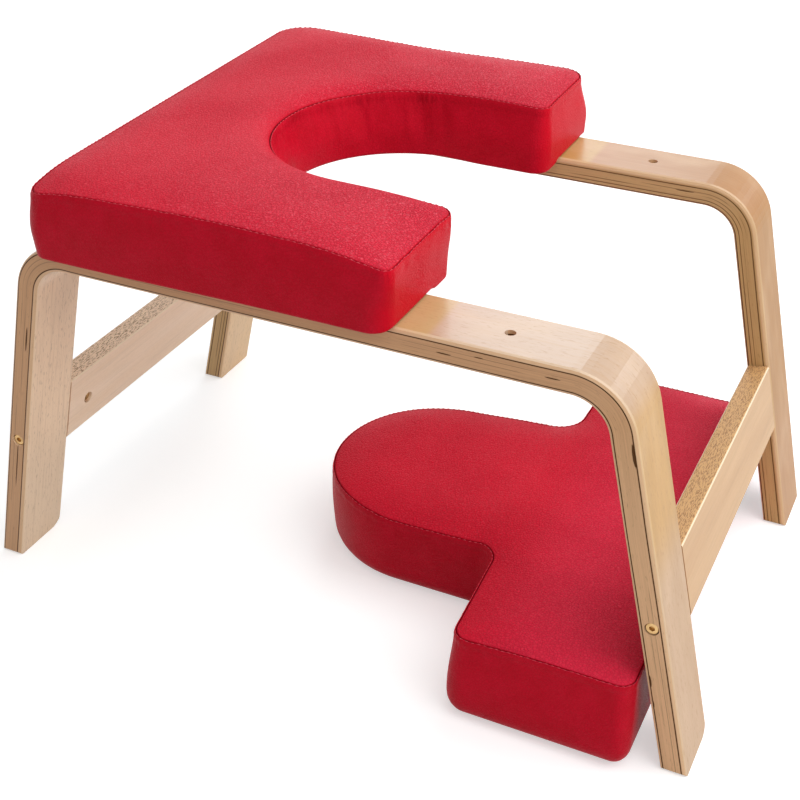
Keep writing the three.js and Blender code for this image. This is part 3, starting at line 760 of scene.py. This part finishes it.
# Height of the hand-made seams over the plan, as pairs of x and lift in millimetres
SEAT_NEAR_LIFT = (
    (-214, -165, -135, -90, -50, -10, 22, 42, 61, 76),
    (-1.5, -0.7, 0.4, 1.8, 2.3, 1.4, 0.2, -1.8, -4.9, -7),
)
SEAT_FAR_LIFT = (
    (-214, -176, -135, -92, -54, -12, 29, 50, 75),
    (2.1, 1.2, 0.2, -0.9, -1.2, -0.4, 0, -0.1, -1),
)
INSERT_NEAR_LIFT = (
    (-67, -25, 0, 22, 48, 80, 95, 107, 120, 130, 180, 230, 265),
    (-1.6, 0.3, -0.8, -2, -1.5, 0.2, 1.2, 2.8, 3, 2.6, 4.5, 4.8, 4.8),
)
INSERT_FAR_LIFT = (
    (-67, -20, 22, 45, 72, 98, 120, 200, 265),
    (-2.8, -2.6, -1.5, 0, 1.8, 2.8, 2.6, 2.8, 2.8),
)


# The near rear corner of the seat pad droops: how far, where, and how wide, in millimetres
DROOP = 5.5
DROOP_PLACE = (-214, -206)
DROOP_WIDTH = 28


def seat_lift(x, y):
    """How far the seat pad's seam runs above its plan."""
    x, y = x / MM, y / MM
    near, far = curve_through(x, *SEAT_NEAR_LIFT), curve_through(x, *SEAT_FAR_LIFT)
    away = (x - DROOP_PLACE[0]) ** 2 + (y - DROOP_PLACE[1]) ** 2
    droop = DROOP * np.exp(-away / DROOP_WIDTH ** 2)
    return (near + (far - near) * np.clip((y + 205) / 410, 0, 1) - droop) * MM


def insert_lift(x, y):
    x, y = x / MM, y / MM
    near, far = curve_through(x, *INSERT_NEAR_LIFT), curve_through(x, *INSERT_FAR_LIFT)
    half = 90 + 112 * smoothstep(x, 100, 125)
    return (near + (far - near) * np.clip((y + half) / (2 * half), 0, 1)) * MM


def seat_dip(x, y):
    """How far the seam is pulled down along the cutout."""
    x, y = x / MM, y / MM
    near = 1.2 + 4.3 * (1 - smoothstep(x, 0, 90))
    far = 0.4 + 1.6 * (1 - smoothstep(x, -50, 30)) + 1.8 * (1 - smoothstep(x, -95, -60))
    return (near + (far - near) * smoothstep(y, -60, 60)) * MM


def seat_sag(x, y):
    """How far the cover hangs below the board where no arch carries it."""
    x, y = x / MM, np.abs(y) / MM
    outer = (0.7 + 2.0 * (1 - smoothstep(x, -180, 0))) * smoothstep(y, 191.5, 199)
    inner = (1.2 + 1.2 * smoothstep(x, -30, 20)) * (1 - smoothstep(y, 122, 131))
    return (outer + inner) * MM


def nothing(x, y):
    return np.zeros(len(x))


# The two pads. cutout: its first and last arc. seam: its height over the base. reach: width of the crown's
# slope. roll: radius of the lower edge. hem: width turned in underneath.
SEAT = {
    "foot": SEAT_FOOT, "top": SEAT_TOP, "cutout": (2, 4),
    "base": SEAT_BASE, "seam": 55 * MM, "crown": 5 * MM, "reach": 46 * MM,
    "roll": 3 * MM, "bulge": 2.0 * MM, "hem": 20 * MM,
    "lift": seat_lift, "dip": seat_dip, "sag": seat_sag, "seed": 3.1,
}
INSERT = {
    "foot": INSERT_FOOT, "top": INSERT_TOP, "cutout": (4, 6),
    "base": 0.0, "seam": 71 * MM, "crown": 6 * MM, "reach": 48 * MM,
    "roll": 17 * MM, "bulge": 0.9 * MM, "hem": 25 * MM,
    "lift": insert_lift, "dip": nothing, "sag": nothing, "seed": 9.4,
}

SEAM_PITCH = 0.6 * MM
CROWN_POWER = 2.4
SOFT_SHOULDER = 16 * MM
TOP_PITCH = 6 * MM
UNDER_PITCH = 25 * MM
ROLL_STEPS = 8
HEM_STEPS = (4 * MM, 8 * MM, 12 * MM)
HEM_EDGE = 0.8 * MM
HEM_WAVE = 0.7 * MM
CLOSING_RISE = 1.3 * MM
# Just under the seam the side stands out a little, and at the gathers it draws in
SHOULDER_DROP = 3.6 * MM
SHOULDER_OUT = 0.25 * MM
PUCKER_DROP = 6.6 * MM
PUCKER_IN = 0.1 * MM
PUCKER_PITCH = 3.9 * MM
# Waves of the cover in millimetres: the least, and how much more there is round the head opening
PUCKERS = (0.2, 0.42)
UPPER_PUCKERS = (0.12, 0.26)
FOLDS = (0.25, 2.7)
SMALL_FOLDS = (0.1, 0.45)
SLOW_WAVE = 0.8
SEAM_WAVE_OUT = 0.14
SEAM_WAVE_UP = 0.16
# Points of the outline over which the waves grow towards the head opening
BLUR_POINTS = 25
STITCH_PITCH = 4.7 * MM
STITCH_RADIUS = 0.26 * MM
# Along a stitch: share of the pitch, height over the ridge in millimetres, share of the radius
STITCH_SHAPE = ((0, -0.4, 0.5), (0.12, 0, 0.9), (0.3, 0.14, 1), (0.48, 0, 0.9), (0.6, -0.4, 0.5))
# Rows of a pad's section between the top panel and its side: inset past the seam, and height over the seam
EDGE_ROWS = [
    (8, 0), (6, 0), (4.6, 0), (3.6, 0), (2.8, -0.04), (2.2, -0.16), (1.8, -0.38), (1.55, -0.78),
    (1.42, -1.35), (1.36, -2.1), (1.26, -2.1), (1.18, -1.1), (1.08, -0.34), (0.9, 0.02), (0.62, 0.16),
    (0.34, 0.04), (0.12, -0.3), (0.02, -0.8),
]
# The crease of the seam, darkened by painted shade, and the ridge that the threads lie on, in millimetres
# of inset
CREASE_AT = 1.31
CREASE_WIDTH = 0.3
RIDGE_AT = 0.62
TOP_SHARES = (1, 0.88, 0.76, 0.64, 0.53, 0.43, 0.34, 0.26)
# Depths of the rows of the side under the seam, in millimetres; the lower edge cuts off the last ones
SIDE_DROPS = (
    1.5, 2.5, 3.6, 4.8, 5.8, 6.6, 7.4, 8.2, 9.2, 10.5, 12, 14, 17, 21, 25, 29, 33, 37, 41, 45, 48, 50,
    54, 58,
)


def by_chunks(points, ring, measure):
    """A measure of the squared distances from each point to all points of a ring."""
    chunks = np.array_split(points, max(1, len(points) // 300))
    return np.concatenate([measure(((chunk[:, None, :] - ring[None]) ** 2).sum(2)) for chunk in chunks])


def fine_ring(ring, pitch):
    closed, along = closed_row(ring)
    spots = np.arange(0, along[-1], pitch)
    return np.column_stack([np.interp(spots, along, line) for line in closed.T])


def soft_distance(points, ring, pitch):
    """Distance to the seam line that turns smoothly between two edges, so no ridge runs to a corner."""
    power = 5
    line = math.sqrt(math.pi) * math.gamma((power - 1) / 2) / math.gamma(power / 2)
    total = by_chunks(points, ring, lambda squares: (squares ** (-power / 2)).sum(1)) * pitch
    return (total / line) ** (-1 / (power - 1))


def crown_height(spec, points):
    """Height of the top panel over the seam, at points of the plan."""
    ring = fine_ring(spec["seam_line"], SEAM_PITCH)
    share = np.clip(soft_distance(points, ring, SEAM_PITCH) / spec["reach"], 0, 1)
    return spec["crown"] * (1 - (1 - share) ** CROWN_POWER)


def pad_section(spec):
    """Rows from the top to the hem, with their height over the base and their depth under the seam."""
    seam, roll, reach = spec["seam"], spec["roll"], spec["reach"]
    rows = [Row("top", share * reach, seam, 0) for share in TOP_SHARES]
    rows += [Row("edge", inset * MM, seam + height * MM, 0) for inset, height in EDGE_ROWS]
    for drop in SIDE_DROPS:
        depth = drop * MM
        if seam - depth > roll + MM:
            share = (seam - depth - roll) / (seam - roll)
            inset = -spec["bulge"] * math.sin(math.pi * share)
            inset -= SHOULDER_OUT * bell(depth, SHOULDER_DROP, 2 * MM)
            inset += PUCKER_IN * bell(depth, PUCKER_DROP, 2 * MM)
            rows.append(Row("side", inset, seam - depth, depth))
    for angle in np.linspace(0, QUARTER, ROLL_STEPS):
        rows.append(Row("roll", roll * (1 - math.cos(angle)), roll * (1 - math.sin(angle)), seam - roll))
    for step in HEM_STEPS:
        if roll + step < spec["hem"] - 2 * HEM_EDGE:
            rows.append(Row("hem", roll + step, 0, seam))
    return rows + [
        Row("hem", spec["hem"] - HEM_EDGE, 0, seam),
        Row("inner", spec["hem"], 0.5 * MM, seam),
        Row("inner", spec["hem"] + 0.1 * MM, CLOSING_RISE, seam),
    ]


def dip_height(spec, plan):
    """The seam's dip along the cutout, carried a little way into the top panel."""
    away = distance_to_ring(plan, spec["cutout_line"])
    return spec["dip"](plan[:, 0], plan[:, 1]) * np.clip(1 - away / SOFT_SHOULDER, 0, 1) ** 2


def top_rise(spec, plan):
    return crown_height(spec, plan) + spec["lift"](plan[:, 0], plan[:, 1]) - dip_height(spec, plan)


def pad_loops(spec, foot, top):
    """The points of every row of the section, carried round the outline."""
    seam, roll, seed, along = spec["seam"], spec["roll"], spec["seed"], top.along
    blur = np.hanning(BLUR_POINTS) / np.hanning(BLUR_POINTS).sum()
    hollow = np.convolve(np.tile(top.mark(is_hollow), 3), blur, "same")[len(along):2 * len(along)]
    corners = foot.mark(is_corner)
    slow = noise_along(along, seed, 22)
    folds = noise_along(along, seed + 2, 62)
    small = noise_along(along, seed + 5, 190)
    tiny = noise_along(along, seed + 11, 520)
    pucker = np.sin(2 * math.pi * along / PUCKER_PITCH + 3.4 * small)
    pucker = pucker * (0.35 + 1.1 * np.clip(noise_along(along, seed + 8, 60) + 0.4, 0, 1)) + 0.9 * tiny
    seam_lift = spec["lift"](top.points[:, 0], top.points[:, 1]) - dip_height(spec, top.points)

    def near_opening(amounts):
        return amounts[0] + amounts[1] * hollow

    loops = []
    for kind, inset, height, depth in pad_section(spec):
        low, low_normals = foot.at(max(inset, 0))
        high, high_normals = top.at(max(inset, 0))
        share = 1 if kind in ("top", "edge") else smoothstep(height, 14 * MM, seam - 3 * MM)
        plan = low + (high - low) * share
        normals = low_normals + (high_normals - low_normals) * share
        extra = min(inset, 0) * (1 - 0.5 * np.clip(normals[:, 0], 0, 1))
        rise = np.zeros(len(along))
        if kind == "edge":
            near_ridge = bell(inset / MM, 0.5, 0.8)
            extra += SEAM_WAVE_OUT * MM * pucker * near_ridge
            rise += SEAM_WAVE_UP * MM * pucker * near_ridge
        if kind == "side":
            band = bell(depth, PUCKER_DROP, 2.6 * MM)
            upper = bell(depth, 3 * MM, 2.2 * MM)
            extra += (near_opening(PUCKERS) * band + near_opening(UPPER_PUCKERS) * upper) * MM * pucker
            middle = math.sin(math.pi * min(1, depth / (seam - roll)) ** 0.8)
            below = smoothstep(depth, 6 * MM, 14 * MM)
            extra += middle * (SLOW_WAVE * slow + near_opening(FOLDS) * folds) * MM
            extra += below * near_opening(SMALL_FOLDS) * small * middle * MM
        if kind == "hem":
            extra -= HEM_WAVE * (1 - corners) * np.abs(small) * smoothstep(inset, roll, spec["hem"])
        plan = plan - normals * extra[:, None]
        if kind == "top" or (kind == "edge" and inset > CREASE_AT * MM):
            rise += top_rise(spec, plan)
        elif kind == "edge":
            rise += seam_lift
        else:
            rise += seam_lift * smoothstep(height, max(roll * 0.6, 5 * MM), seam)
            hang = 1 - smoothstep(height, 2 * MM, 14 * MM)
            if kind != "side":
                hang *= 1 - smoothstep(inset, roll, roll + 13 * MM)
            rise -= spec["sag"](plan[:, 0], plan[:, 1]) * hang
        loops.append(np.column_stack([plan, spec["base"] + height + rise]))
    return loops


def inside_ring(points, ring):
    a, b = ring, np.roll(ring, -1, axis=0)
    crosses = (a[None, :, 1] > points[:, 1:2]) != (b[None, :, 1] > points[:, 1:2])
    span = np.where(b[:, 1] == a[:, 1], 1e-12, b[:, 1] - a[:, 1])
    hit = (b[:, 0] - a[:, 0])[None] * (points[:, 1:2] - a[None, :, 1]) / span[None] + a[None, :, 0]
    return (crosses & (points[:, 0:1] < hit)).sum(1) % 2 == 1


def distance_to_ring(points, ring):
    return np.sqrt(by_chunks(points, ring, lambda squares: squares.min(1)))


def fill_ring(ring, pitch):
    """Plan points inside a ring and the triangles between them; the ring's own points come first."""
    low, high = ring.min(0) + pitch / 2, ring.max(0) - pitch / 2
    inner = np.array([
        (x, y + (pitch / 2 if number % 2 else 0))
        for number, x in enumerate(np.arange(low[0], high[0], pitch * 0.87))
        for y in np.arange(low[1], high[1], pitch)
    ])
    inner = inner[inside_ring(inner, ring) & (distance_to_ring(inner, ring) > pitch * 0.5)]
    plan = np.vstack([ring, inner])
    edges = [(i, (i + 1) % len(ring)) for i in range(len(ring))]
    given = [Vector(place) for place in plan]
    _, _, faces, sources, _, _ = geometry.delaunay_2d_cdt(given, edges, [], 1, 1e-9)
    order = [min(source) for source in sources]
    return plan, [[order[i] for i in face] for face in faces]


def facing_up(points, face):
    a, b, c = (points[i] for i in face[:3])
    return (b[0] - a[0]) * (c[1] - a[1]) - (b[1] - a[1]) * (c[0] - a[0]) > 0


def foam_waves(spec, points, rim):
    """Slow unevenness of the foam under the top panel, none at the seam."""
    waves = 0.9 * plan_noise(points, spec["seed"], 8) + 0.3 * plan_noise(points, spec["seed"], 24)
    return waves * smoothstep(distance_to_ring(points, rim), 12 * MM, 70 * MM) * MM


def close_row(points, faces, first, row, pitch, heights, upward):
    """Fill a closed row, whose points start at number first, with a panel that faces up or down."""
    plan, panel = fill_ring(row[:, :2], pitch)
    count, start = len(row), len(points)
    points += [np.array([*place, height]) for place, height in zip(plan[count:], heights(plan)[count:])]
    for face in panel:
        ids = [first + i if i < count else start + i - count for i in face]
        faces.append(ids if facing_up(points, ids) == upward else ids[::-1])


def cushion(name, spec, body, replaced):
    """One closed cover: top panel, seam, side, rolled lower edge, hem, and a closing panel underneath."""
    foot = Outline(spec["foot"])
    top = Outline(spec["top"], foot)
    spec["seam_line"] = top.points
    spec["cutout_line"] = top.stretch(*spec["cutout"])
    rows = pad_section(spec)
    loops = pad_loops(spec, foot, top)
    count = len(top.points)
    for loop in loops[:len(TOP_SHARES)]:
        loop[:, 2] += foam_waves(spec, loop[:, :2], top.points)

    def top_height(plan):
        return spec["base"] + spec["seam"] + top_rise(spec, plan) + foam_waves(spec, plan, top.points)

    def closing_height(plan):
        return np.full(len(plan), loops[-1][0, 2])

    points, faces = list(np.concatenate(loops)), []
    close_row(points, faces, 0, loops[0], TOP_PITCH, top_height, True)
    for number in range(len(loops) - 1):
        upper, lower = number * count, (number + 1) * count
        for i in range(count):
            j = (i + 1) % count
            faces.append((upper + i, lower + i, lower + j, upper + j))
    close_row(points, faces, (len(loops) - 1) * count, loops[-1], UNDER_PITCH, closing_height, False)

    made = make_piece(name, points, faces, leather, body)
    shade = np.zeros(len(points))
    for number, row in enumerate(rows):
        if row.kind == "edge":
            shade[number * count:(number + 1) * count] = bell(row.inset / MM, CREASE_AT, CREASE_WIDTH)
    made.data.attributes.new("seam_shade", "FLOAT", "POINT").data.foreach_set("value", shade)
    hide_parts(*replaced)
    edges = [number for number, row in enumerate(rows) if row.kind == "edge"]
    ridge = min(edges, key=lambda number: abs(rows[number].inset - RIDGE_AT * MM))
    return foot, loops[ridge], top.normals


def tube_pieces(paths, radius, sides=6):
    """Points and faces of short closed tubes; each path is a list of (point, share of the radius)."""
    points, faces = [], []
    for path in paths:
        places = [np.array(p) for p, _ in path]
        first = len(points)
        for i, (_, share) in enumerate(path):
            ahead = places[min(i + 1, len(places) - 1)] - places[max(i - 1, 0)]
            ahead /= np.linalg.norm(ahead)
            side = np.cross(ahead, [0, 0, 1])
            side /= np.linalg.norm(side)
            over = np.cross(side, ahead)
            for k in range(sides):
                angle = 2 * math.pi * k / sides
                around = math.cos(angle) * side + math.sin(angle) * over
                points.append(places[i] + radius * share * around)
        for i in range(len(path) - 1):
            for k in range(sides):
                a, b = first + i * sides + k, first + i * sides + (k + 1) % sides
                faces.append((a, b, b + sides, a + sides))
        faces.append(tuple(first + k for k in reversed(range(sides))))
        faces.append(tuple(first + (len(path) - 1) * sides + k for k in range(sides)))
    return points, faces


def ring_walk(loop, normals):
    """Length of a closed row of points, and a function for the place at any distance along it."""
    closed, along = closed_row(loop)
    turned = np.vstack([normals, normals[:1]])

    def place(distance):
        spot = distance % along[-1]
        point = np.array([np.interp(spot, along, line) for line in closed.T])
        normal = np.array([np.interp(spot, along, line) for line in turned.T] + [0])
        return point, normal / np.linalg.norm(normal)

    return along[-1], place


def stitches(name, seed, ridge, normals, body):
    """Threads that lie over the ridge of the seam, one short stitch after another."""
    total, place = ring_walk(ridge, normals)
    count = round(total / STITCH_PITCH)
    paths = []
    for number in range(count):
        uneven = 0.12 * noise.noise(Vector((number * 0.37, seed, 0)))
        begin = total * (number + uneven) / count
        path = []
        for share, lift, width in STITCH_SHAPE:
            point, normal = place(begin + share * STITCH_PITCH)
            path.append((point + normal * 0.1 * MM + np.array([0, 0, lift * MM]), width))
        paths.append(path)
    points, faces = tube_pieces(paths, STITCH_RADIUS)
    make_piece(name, points, faces, thread, body)


LINING_OVERLAP = 3 * MM
LINING_THICKNESS = 0.35 * MM
LINING_PITCH = 8 * MM
LINING_EDGE_ANGLE = math.radians(40)


def lining(name, spec, outline, body, node, depth):
    """Black cloth over the board and the turned-in hem, a thin closed sheet that may sag."""
    ring, _ = outline.at(spec["hem"] - LINING_OVERLAP)
    plan, faces = fill_ring(ring, LINING_PITCH)
    waves = plan_noise(plan, spec["seed"] + 1, 30)
    fade = smoothstep(distance_to_ring(plan, ring), 0, 18 * MM)
    sag = depth * fade * smoothstep(np.abs(plan[:, 1]), 130 * MM, 90 * MM)
    lower = spec["base"] + (0.25 + 0.15 * waves * fade) * MM - sag
    upper = lower + LINING_THICKNESS
    count, edge = len(plan), len(ring)
    points = [np.array([*p, z]) for heights in (lower, upper) for p, z in zip(plan, heights)]
    all_faces = []
    for face in faces:
        face = face if facing_up(points, face) else face[::-1]
        all_faces.append(face[::-1])
        all_faces.append([i + count for i in face])
    for i in range(edge):
        j = (i + 1) % edge
        all_faces.append((i, j, j + count, i + count))
    made = make_piece(name, points, all_faces, lining_cloth, body)
    made.data.set_sharp_from_angle(angle=LINING_EDGE_ANGLE)
    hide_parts(node)


SEAT_LINING_SAG = 1.5 * MM

seat_foot, seat_ridge, seat_normals = cushion("seat_cushion", SEAT, "stool", ["seat_cover", "seat_foam"])
insert_foot, insert_ridge, insert_normals = cushion(
    "insert_cushion", INSERT, "insert_pad", ["insert_cover", "insert_foam"],
)
stitches("seat_seam_threads", SEAT["seed"], seat_ridge, seat_normals, "stool")
stitches("insert_seam_threads", INSERT["seed"], insert_ridge, insert_normals, "insert_pad")
lining("seat_lining_cloth", SEAT, seat_foot, "stool", "seat_lining", SEAT_LINING_SAG)
lining("insert_lining_cloth", INSERT, insert_foot, "insert_pad", "insert_lining", 0)


# Stage, light and camera

def in_plain_sight(g):
    """1 for rays that show the stage itself: seen straight, mirrored or through something clear."""
    rays = g.node("LightPath").outputs
    return g.larger(g.larger(rays["Is Camera Ray"], rays["Is Glossy Ray"]), rays["Is Transmission Ray"])


WHITE = (1, 1, 1, 1)
FLOOR_GREY = (0.7, 0.7, 0.7, 1)
FLOOR_HALF = 6
FLOOR_GAP = 0.2 * MM
# The floor glows by itself for the camera, more so away from the stool: distances, then strengths
FLOOR_GLOW = (0.9, 2.2, 0.5, 0.95)
# Strength of the surroundings as light, and what is added where they are seen
SKY_LIGHT = 0.44
SKY_ADDED = 0.56


def plain_stage():
    g = material_graph("floor")
    x, y, _ = g.split(g.place())
    away = g.math("SQRT", g.add(g.mul(x, x), g.mul(y, y)))
    glow = g.out("Emission", WHITE, g.mul(in_plain_sight(g), g.ramp(away, *FLOOR_GLOW)))
    g.out("OutputMaterial", g.out("AddShader", g.out("BsdfDiffuse", FLOOR_GREY), glow))
    mesh = bpy.data.meshes.new("floor")
    corners = [(a * FLOOR_HALF, b * FLOOR_HALF, 0) for a, b in ((-1, -1), (1, -1), (1, 1), (-1, 1))]
    mesh.from_pydata(corners, [], [(0, 1, 2, 3)])
    mesh.materials.append(g.owner)
    floor = bpy.data.objects.new("floor", mesh)
    floor.location.z = -FLOOR_GAP
    scene.collection.objects.link(floor)


def studio_world():
    g = Graph(bpy.data.worlds.new("studio"))
    scene.world = g.owner
    strength = g.math("MULTIPLY_ADD", in_plain_sight(g), SKY_ADDED, SKY_LIGHT)
    g.out("OutputWorld", g.out("Background", WHITE, strength))


def area_light(name, place, aim, size, power, colour=(1, 1, 1)):
    lamp = bpy.data.lights.new(name, "AREA")
    lamp.shape = "RECTANGLE"
    lamp.size, lamp.size_y = size
    lamp.energy = power
    lamp.color = colour
    made = bpy.data.objects.new(name, lamp)
    made.location = place
    made.rotation_euler = (Vector(aim) - Vector(place)).to_track_quat("-Z", "Y").to_euler()
    scene.collection.objects.link(made)


plain_stage()
studio_world()
area_light("key", (1.3, 0.05, 2.25), (0, 0, 0.15), (3.2, 2.8), 70)
area_light("fill", (2.6, 0.3, 0.7), (0, 0, 0.1), (1.8, 1.0), 5.5)
area_light("back_box", (-0.45, 1.79, 1.55), (0.1, 0, 0.3), (0.65, 1.0), 7.5, (0.84, 0.94, 1.0))
area_light("back_strip", (1.27, 1.86, 1.06), (0.2, 0, 0.3), (0.42, 0.55), 3, (0.85, 0.95, 1.0))

# Camera: angles in radians, and the lens in pixels of a square picture
AZIMUTH = 0.4325
ELEVATION = 0.5241
ROLL = 0.0074
DISTANCE = 1.17316
TARGET = Vector((0, 0, 0.18))
PICTURE_SIDE = 800
FOCAL_LENGTH = 1408.6
PICTURE_CENTRE = (413.78, 347.25)
SENSOR_WIDTH = 36

back = Vector((
    math.sin(AZIMUTH) * math.cos(ELEVATION),
    -math.cos(AZIMUTH) * math.cos(ELEVATION),
    math.sin(ELEVATION),
))
level_right = (-back).cross(Vector((0, 0, 1))).normalized()
level_up = level_right.cross(-back)
right = math.cos(ROLL) * level_right + math.sin(ROLL) * level_up
up = math.cos(ROLL) * level_up - math.sin(ROLL) * level_right

lens = bpy.data.cameras.new("camera")
lens.sensor_width = SENSOR_WIDTH
lens.lens = FOCAL_LENGTH / PICTURE_SIDE * SENSOR_WIDTH
lens.shift_x = (PICTURE_SIDE / 2 - PICTURE_CENTRE[0]) / PICTURE_SIDE
lens.shift_y = (PICTURE_CENTRE[1] - PICTURE_SIDE / 2) / PICTURE_SIDE
camera = bpy.data.objects.new("camera", lens)
camera.matrix_world = Matrix((right, up, back)).transposed().to_4x4()
camera.location = TARGET + back * DISTANCE
scene.collection.objects.link(camera)
scene.camera = camera
